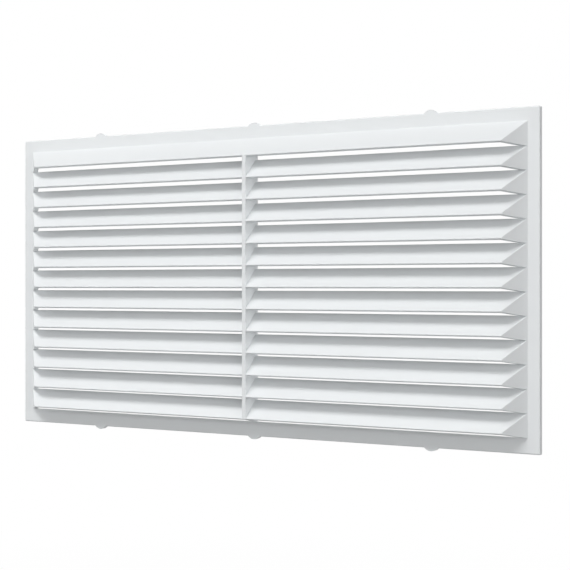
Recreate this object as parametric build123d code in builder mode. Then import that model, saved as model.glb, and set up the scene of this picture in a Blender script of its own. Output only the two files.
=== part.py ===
"""Louvred ventilation grille, moulded in one piece of white plastic.

The origin is the centre of the flat back, which lies against the wall or door.
The louvres face -Y, +X runs along the width and +Z is up.
Sizes are in millimetres and angles in degrees.
"""

import os
from math import cos, radians, sin, tan

from build123d import *

# Flange, a flat plate with one large opening behind the louvres
FLANGE_WIDTH = 480.0
FLANGE_HEIGHT = 245.2
FLANGE_DEPTH = 3.3
FLANGE_ROUND = 1.0

# Half-round lugs along the top and bottom edges of the flange
LUG_RADIUS = 7.2
LUG_REACH = 2.4
LUG_INSET = 85.0
LUGS_PER_EDGE = 3

# Borders of bare flange around the louvres
SIDE_BORDER = 9.4
TOP_BORDER = 10.1
BOTTOM_BORDER = 12.1

# Louvres, whose blades and hipped ends lean out from the flange's face
LOUVRE_COUNT = 13
LOUVRE_PROJECTION = 14.6
LEAN = 45.0
BLADE_THICKNESS = 3.0
NOSE_DROP = 0.85
NOSE_ROUND = 0.6
RIDGE_ROUND = 0.5
HIP_ROUND = 0.4
CHEEK_WALL = 3.8
CHEEK_OVERLAP = 0.6
COVE_RADIUS = 1.2

# Upright that divides the louvres into two bays
MULLION_THICKNESS = 3.4
MULLION_SETBACK = 0.45

# How a leaning face runs: its drop or inset for each millimetre that it comes forward
lean = radians(LEAN)
lean_run = 1 / tan(lean)

# Planes and lines that the sections share
front_y = -FLANGE_DEPTH
nose_y = front_y - LOUVRE_PROJECTION
ridge_z = FLANGE_HEIGHT / 2 - TOP_BORDER
louvre_pitch = (FLANGE_HEIGHT - TOP_BORDER - BOTTOM_BORDER) / LOUVRE_COUNT
last_ridge_z = ridge_z - LOUVRE_COUNT * louvre_pitch
nose_z = ridge_z - LOUVRE_PROJECTION * lean_run
last_nose_z = nose_z - (LOUVRE_COUNT - 1) * louvre_pitch
blade_upright_cut = BLADE_THICKNESS / sin(lean)
cheek_drop = louvre_pitch + CHEEK_OVERLAP
base_half_width = FLANGE_WIDTH / 2 - SIDE_BORDER
opening_half_width = base_half_width - CHEEK_WALL / sin(lean)
opening_top_z = ridge_z - blade_upright_cut
opening_back_top_z = opening_top_z + FLANGE_DEPTH * lean_run
opening_bottom_z = last_ridge_z - CHEEK_OVERLAP

# The hips run into the rounded nose and ridge, so their own round stays the smaller one
HIP_SHARE = 0.8
hip_round = min(HIP_ROUND, HIP_SHARE * NOSE_ROUND, HIP_SHARE * RIDGE_ROUND)


def hipped_plan(half_width, mode=Mode.ADD):
    """Plan of a louvre: a trapezium with leaning ends, half_width wide each way at the flange's face."""
    reach = LOUVRE_PROJECTION + NOSE_ROUND
    back_half = half_width + FLANGE_DEPTH * lean_run
    front_half = half_width - reach * lean_run
    Polygon(
        (-back_half, 0),
        (-front_half, front_y - reach),
        (front_half, front_y - reach),
        (back_half, 0),
        mode=mode,
    )


# Opening behind the louvres: its sides and top flare to the back, in line with the cheeks and the first blade
with BuildPart() as opening:
    with BuildSketch(Plane.YZ):
        Polygon(
            (0, opening_back_top_z),
            (front_y, opening_top_z),
            (front_y, opening_bottom_z),
            (0, opening_bottom_z),
        )
    extrude(amount=FLANGE_WIDTH / 2, both=True)
    with BuildSketch(Plane.XY):
        hipped_plan(opening_half_width)
    extrude(amount=FLANGE_HEIGHT, both=True, mode=Mode.INTERSECT)

# Flange with a rounded front edge, its lugs and the opening
with BuildPart() as flange:
    with BuildSketch(Plane.XZ):
        RectangleRounded(FLANGE_WIDTH, FLANGE_HEIGHT, FLANGE_ROUND)
    extrude(amount=FLANGE_DEPTH)
    fillet(flange.faces().sort_by(Axis.Y)[0].edges(), FLANGE_ROUND)
    with BuildSketch(Plane.XZ):
        lug_spacing = (FLANGE_WIDTH - 2 * LUG_INSET) / (LUGS_PER_EDGE - 1)
        lug_rows = FLANGE_HEIGHT + 2 * (LUG_REACH - LUG_RADIUS)
        with GridLocations(lug_spacing, lug_rows, LUGS_PER_EDGE, 2):
            Circle(LUG_RADIUS)
    extrude(amount=FLANGE_DEPTH)
    add(opening.part, mode=Mode.SUBTRACT)

# First blade, with a rounded nose and ridge and hipped ends
with BuildPart() as blade:
    with BuildSketch(Plane.YZ) as blade_section:
        with BuildLine():
            heel_z = nose_z - NOSE_DROP
            heel_y = front_y + (heel_z - opening_top_z) / lean_run
            Polyline(
                (front_y, ridge_z),
                (nose_y, nose_z),
                (heel_y, heel_z),
                (front_y + BLADE_THICKNESS * cos(lean), ridge_z - BLADE_THICKNESS * sin(lean)),
                close=True,
            )
        make_face()
        fillet(blade_section.vertices().sort_by(Axis.X)[0], NOSE_ROUND)
        fillet(blade_section.vertices().sort_by(Axis.Y)[-1], RIDGE_ROUND)
    extrude(amount=FLANGE_WIDTH / 2, both=True)
    with BuildSketch(Plane.XY):
        hipped_plan(base_half_width)
    extrude(amount=FLANGE_HEIGHT, both=True, mode=Mode.INTERSECT)
    end_faces = blade.faces().sort_by(Axis.X)
    for end_face in (end_faces[0], end_faces[-1]):
        sloping_edges = end_face.edges().sort_by(SortBy.LENGTH)[-2:]
        fillet(sloping_edges.sort_by(Axis.Z)[-1], hip_round)

# Cheeks that close the two ends under the first blade, down to just below the next blade's ridge
with BuildPart() as cheeks:
    with BuildSketch(Plane.YZ):
        blade_middle_z = ridge_z - blade_upright_cut / 2
        tip_reach = LOUVRE_PROJECTION * (1 - blade_upright_cut / (2 * cheek_drop))
        Polygon(
            (front_y, blade_middle_z),
            (front_y - tip_reach, blade_middle_z - tip_reach * lean_run),
            (front_y, ridge_z - cheek_drop),
        )
    extrude(amount=base_half_width, both=True)
    with BuildSketch(Plane.XY):
        hipped_plan(base_half_width)
        hipped_plan(opening_half_width, mode=Mode.SUBTRACT)
    extrude(amount=FLANGE_HEIGHT, both=True, mode=Mode.INTERSECT)

# Mullion, from the first blade down to the lower border
with BuildPart() as mullion:
    with BuildSketch(Plane.YZ):
        mullion_reach = LOUVRE_PROJECTION - MULLION_SETBACK
        Polygon(
            (0, opening_back_top_z),
            (front_y, opening_top_z),
            (front_y - mullion_reach, ridge_z - mullion_reach * lean_run),
            (front_y - mullion_reach, last_nose_z),
            (front_y, opening_bottom_z),
            (0, opening_bottom_z),
        )
    extrude(amount=MULLION_THICKNESS / 2, both=True)

# Cove that rounds the inner corner between flange and louvres, up both sides and along the top
with BuildPart() as cove:
    with BuildLine(Plane.XZ.offset(FLANGE_DEPTH)):
        Polyline(
            (-base_half_width, last_ridge_z),
            (-base_half_width, ridge_z),
            (base_half_width, ridge_z),
            (base_half_width, last_ridge_z),
        )
    left_foot = (-base_half_width, front_y, last_ridge_z)
    with BuildSketch(Plane(left_foot, x_dir=(-1, 0, 0), z_dir=(0, 0, 1))):
        with BuildLine():
            tangent = COVE_RADIUS * tan(lean / 2)
            on_flange = (tangent, 0)
            on_louvre = (-tangent * cos(lean), tangent * sin(lean))
            RadiusArc(on_flange, on_louvre, COVE_RADIUS)
            Polyline(on_louvre, (-tangent * cos(lean), -tangent), (tangent, -tangent), on_flange)
        make_face()
    sweep(transition=Transition.RIGHT)

# The moulding, with a blade and its cheeks in each row
with BuildPart() as grille:
    add(flange.part)
    with Locations(*[(0, 0, -row * louvre_pitch) for row in range(LOUVRE_COUNT)]):
        add(blade.part)
        add(cheeks.part)
    add(mullion.part)
    add(cove.part)

os.makedirs("parts", exist_ok=True)
grille.part.label = "grille"
export_step(grille.part, "parts/grille.step")
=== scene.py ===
"""White louvred ventilation grille, seen level from its right in soft studio light."""

from math import cos, radians, sin

import bmesh
import bpy
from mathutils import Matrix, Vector

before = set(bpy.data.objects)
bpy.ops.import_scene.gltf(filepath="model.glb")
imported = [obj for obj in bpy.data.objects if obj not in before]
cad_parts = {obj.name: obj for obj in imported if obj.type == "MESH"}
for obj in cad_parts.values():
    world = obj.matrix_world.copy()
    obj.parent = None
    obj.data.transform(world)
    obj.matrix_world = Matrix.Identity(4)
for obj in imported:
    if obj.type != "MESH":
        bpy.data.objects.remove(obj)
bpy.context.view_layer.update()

# Sizes are in metres and angles in degrees; an azimuth is counted from straight in front, to the right
WHITE = (1, 1, 1, 1)
QUARTER_TURN = 90.0

# Camera, level with the grille's middle and to the right of its face
VIEW_AZIMUTH = 32.0
CAMERA_SPOT = (0.6201, -0.9490, -0.0033)
SENSOR_WIDTH = 36.0
FOCAL_LENGTH = 90.49

# Softboxes, all at one distance: a key above to the left, a fill on each side of the face and one behind
LAMP_DISTANCE = 5.0
KEY_AZIMUTH = -18.0
KEY_ELEVATION = 52.0
KEY_SIZE = (4.0, 2.0)
KEY_POWER = 169.0
RIGHT_AZIMUTH = 62.0
RIGHT_ELEVATION = 6.0
RIGHT_SIZE = (4.0, 1.7)
RIGHT_POWER = 63.0
LEFT_AZIMUTH = -28.0
LEFT_ELEVATION = 13.0
LEFT_SIZE = (5.0, 2.0)
LEFT_POWER = 76.0
BACK_AZIMUTH = 156.0
BACK_ELEVATION = 45.0
BACK_SIZE = (2.0, 0.6)
BACK_POWER = 140.0

# Light from all round
ROOM_STRENGTH = 0.05

# Floor, well below the grille as it hangs; from the two distances on, it fades and is plain white
FLOOR_Z = -0.35
FLOOR_RADIUS = 12.0
FLOOR_SIDES = 96
FLOOR_TONE = 0.22
FLOOR_LIFT = 0.78
FLOOR_CLEAR = 0.5
FLOOR_FADE = 1.0

# White plastic: two near tones that drift along the width, a satin gloss and a fine moulded grain
TONE_DEEP = (0.81, 0.833, 0.843, 1)
TONE_PALE = (0.83, 0.853, 0.863, 1)
FLOW_STRETCH = (4.0, 14.0, 14.0)
FLOW_SCALE = 1.0
FLOW_DETAIL = 3.0
SATIN_SMOOTH = 0.36
SATIN_ROUGH = 0.44
GRAIN_SCALE = 1800.0
GRAIN_DETAIL = 2.0
GRAIN_HEIGHT = 0.000008
WAVE_SCALE = 22.0
WAVE_DETAIL = 1.0
WAVE_HEIGHT = 0.00004


def add_camera():
    """Camera at the height of the grille's middle."""
    data = bpy.data.cameras.new("camera")
    data.sensor_width = SENSOR_WIDTH
    data.lens = FOCAL_LENGTH
    camera = bpy.data.objects.new("camera", data)
    camera.location = CAMERA_SPOT
    camera.rotation_euler = (radians(QUARTER_TURN), 0, radians(VIEW_AZIMUTH))
    bpy.context.scene.collection.objects.link(camera)
    bpy.context.scene.camera = camera


def add_softbox(name, azimuth, elevation, size, power):
    """Oblong lamp that faces the origin from that side and height."""
    data = bpy.data.lights.new(name, "AREA")
    data.shape = "RECTANGLE"
    data.size, data.size_y = size
    data.energy = power
    lamp = bpy.data.objects.new(name, data)
    turn, lift = radians(azimuth), radians(elevation)
    lamp.location = LAMP_DISTANCE * Vector((sin(turn) * cos(lift), -cos(turn) * cos(lift), sin(lift)))
    lamp.rotation_euler = (radians(QUARTER_TURN) - lift, 0, turn)
    bpy.context.scene.collection.objects.link(lamp)


def seen_directly(nodes, links):
    """One for a ray that the eye follows, straight, mirrored or through glass, and nothing for the rest."""
    path = nodes.new("ShaderNodeLightPath")
    mirrored = nodes.new("ShaderNodeMath")
    mirrored.operation = "MAXIMUM"
    links.new(path.outputs["Is Camera Ray"], mirrored.inputs[0])
    links.new(path.outputs["Is Glossy Ray"], mirrored.inputs[1])
    through = nodes.new("ShaderNodeMath")
    through.operation = "MAXIMUM"
    links.new(mirrored.outputs[0], through.inputs[0])
    links.new(path.outputs["Is Transmission Ray"], through.inputs[1])
    return through.outputs[0]


def add_room():
    """Even light from all round, and plain white where the eye sees past the grille."""
    world = bpy.data.worlds.new("room")
    world.use_nodes = True
    bpy.context.scene.world = world
    nodes, links = world.node_tree.nodes, world.node_tree.links
    nodes.clear()
    light = nodes.new("ShaderNodeBackground")
    light.inputs["Color"].default_value = WHITE
    light.inputs["Strength"].default_value = ROOM_STRENGTH
    white = nodes.new("ShaderNodeBackground")
    white.inputs["Color"].default_value = WHITE
    mix = nodes.new("ShaderNodeMixShader")
    links.new(seen_directly(nodes, links), mix.inputs[0])
    links.new(light.outputs[0], mix.inputs[1])
    links.new(white.outputs[0], mix.inputs[2])
    output = nodes.new("ShaderNodeOutputWorld")
    links.new(mix.outputs[0], output.inputs["Surface"])


def pale_floor():
    """Matt white floor that keeps a shadow near the grille and runs out into plain white further off."""
    material = bpy.data.materials.new("pale_floor")
    material.use_nodes = True
    nodes, links = material.node_tree.nodes, material.node_tree.links
    nodes.clear()
    seen = seen_directly(nodes, links)

    matt = nodes.new("ShaderNodeBsdfDiffuse")
    matt.inputs["Color"].default_value = (FLOOR_TONE, FLOOR_TONE, FLOOR_TONE, 1)
    lift = nodes.new("ShaderNodeMath")
    lift.operation = "MULTIPLY"
    links.new(seen, lift.inputs[0])
    lift.inputs[1].default_value = FLOOR_LIFT
    glow = nodes.new("ShaderNodeEmission")
    links.new(lift.outputs[0], glow.inputs["Strength"])
    near = nodes.new("ShaderNodeAddShader")
    links.new(matt.outputs[0], near.inputs[0])
    links.new(glow.outputs[0], near.inputs[1])

    place = nodes.new("ShaderNodeTexCoord")
    distance = nodes.new("ShaderNodeVectorMath")
    distance.operation = "LENGTH"
    links.new(place.outputs["Object"], distance.inputs[0])
    fade = nodes.new("ShaderNodeMapRange")
    fade.interpolation_type = "SMOOTHSTEP"
    links.new(distance.outputs["Value"], fade.inputs["Value"])
    fade.inputs["From Min"].default_value = FLOOR_CLEAR
    fade.inputs["From Max"].default_value = FLOOR_FADE
    share = nodes.new("ShaderNodeMath")
    share.operation = "MULTIPLY"
    links.new(fade.outputs["Result"], share.inputs[0])
    links.new(seen, share.inputs[1])
    white = nodes.new("ShaderNodeEmission")
    mix = nodes.new("ShaderNodeMixShader")
    links.new(share.outputs[0], mix.inputs[0])
    links.new(near.outputs[0], mix.inputs[1])
    links.new(white.outputs[0], mix.inputs[2])
    output = nodes.new("ShaderNodeOutputMaterial")
    links.new(mix.outputs[0], output.inputs["Surface"])
    return material


def add_floor():
    """Round floor under the grille."""
    mesh = bpy.data.meshes.new("floor")
    shape = bmesh.new()
    bmesh.ops.create_circle(shape, cap_ends=True, segments=FLOOR_SIDES, radius=FLOOR_RADIUS)
    bmesh.ops.translate(shape, verts=shape.verts, vec=(0, 0, FLOOR_Z))
    shape.to_mesh(mesh)
    shape.free()
    mesh.materials.append(pale_floor())
    floor = bpy.data.objects.new("floor", mesh)
    bpy.context.scene.collection.objects.link(floor)


def noise(nodes, links, vector, scale, detail):
    """Soft noise of that many waves to the metre."""
    texture = nodes.new("ShaderNodeTexNoise")
    links.new(vector, texture.inputs["Vector"])
    texture.inputs["Scale"].default_value = scale
    texture.inputs["Detail"].default_value = detail
    return texture.outputs["Fac"]


def white_plastic():
    """Satin white moulded plastic."""
    material = bpy.data.materials.new("white_plastic")
    material.use_nodes = True
    nodes, links = material.node_tree.nodes, material.node_tree.links
    shader = nodes["Principled BSDF"]
    place = nodes.new("ShaderNodeTexCoord").outputs["Object"]

    # Tone and gloss drift in streaks along the width, the way the melt ran
    along = nodes.new("ShaderNodeMapping")
    along.inputs["Scale"].default_value = FLOW_STRETCH
    links.new(place, along.inputs["Vector"])
    flow = noise(nodes, links, along.outputs["Vector"], FLOW_SCALE, FLOW_DETAIL)
    tone = nodes.new("ShaderNodeMix")
    tone.data_type = "RGBA"
    links.new(flow, tone.inputs["Factor"])
    tone.inputs["A"].default_value = TONE_DEEP
    tone.inputs["B"].default_value = TONE_PALE
    links.new(tone.outputs["Result"], shader.inputs["Base Color"])
    gloss = nodes.new("ShaderNodeMapRange")
    links.new(flow, gloss.inputs["Value"])
    gloss.inputs["To Min"].default_value = SATIN_SMOOTH
    gloss.inputs["To Max"].default_value = SATIN_ROUGH
    links.new(gloss.outputs["Result"], shader.inputs["Roughness"])

    # Faint waves where the walls sank as they cooled, under a fine even grain
    waves = nodes.new("ShaderNodeBump")
    waves.inputs["Distance"].default_value = WAVE_HEIGHT
    links.new(noise(nodes, links, place, WAVE_SCALE, WAVE_DETAIL), waves.inputs["Height"])
    grain = nodes.new("ShaderNodeBump")
    grain.inputs["Distance"].default_value = GRAIN_HEIGHT
    links.new(noise(nodes, links, place, GRAIN_SCALE, GRAIN_DETAIL), grain.inputs["Height"])
    links.new(waves.outputs["Normal"], grain.inputs["Normal"])
    links.new(grain.outputs["Normal"], shader.inputs["Normal"])
    return material


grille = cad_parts["grille"]
grille.data.materials.clear()
grille.data.materials.append(white_plastic())

add_floor()
add_camera()
add_softbox("key", KEY_AZIMUTH, KEY_ELEVATION, KEY_SIZE, KEY_POWER)
add_softbox("right_fill", RIGHT_AZIMUTH, RIGHT_ELEVATION, RIGHT_SIZE, RIGHT_POWER)
add_softbox("left_fill", LEFT_AZIMUTH, LEFT_ELEVATION, LEFT_SIZE, LEFT_POWER)
add_softbox("back_fill", BACK_AZIMUTH, BACK_ELEVATION, BACK_SIZE, BACK_POWER)
add_room()
bpy.context.scene.view_settings.view_transform = "Standard"
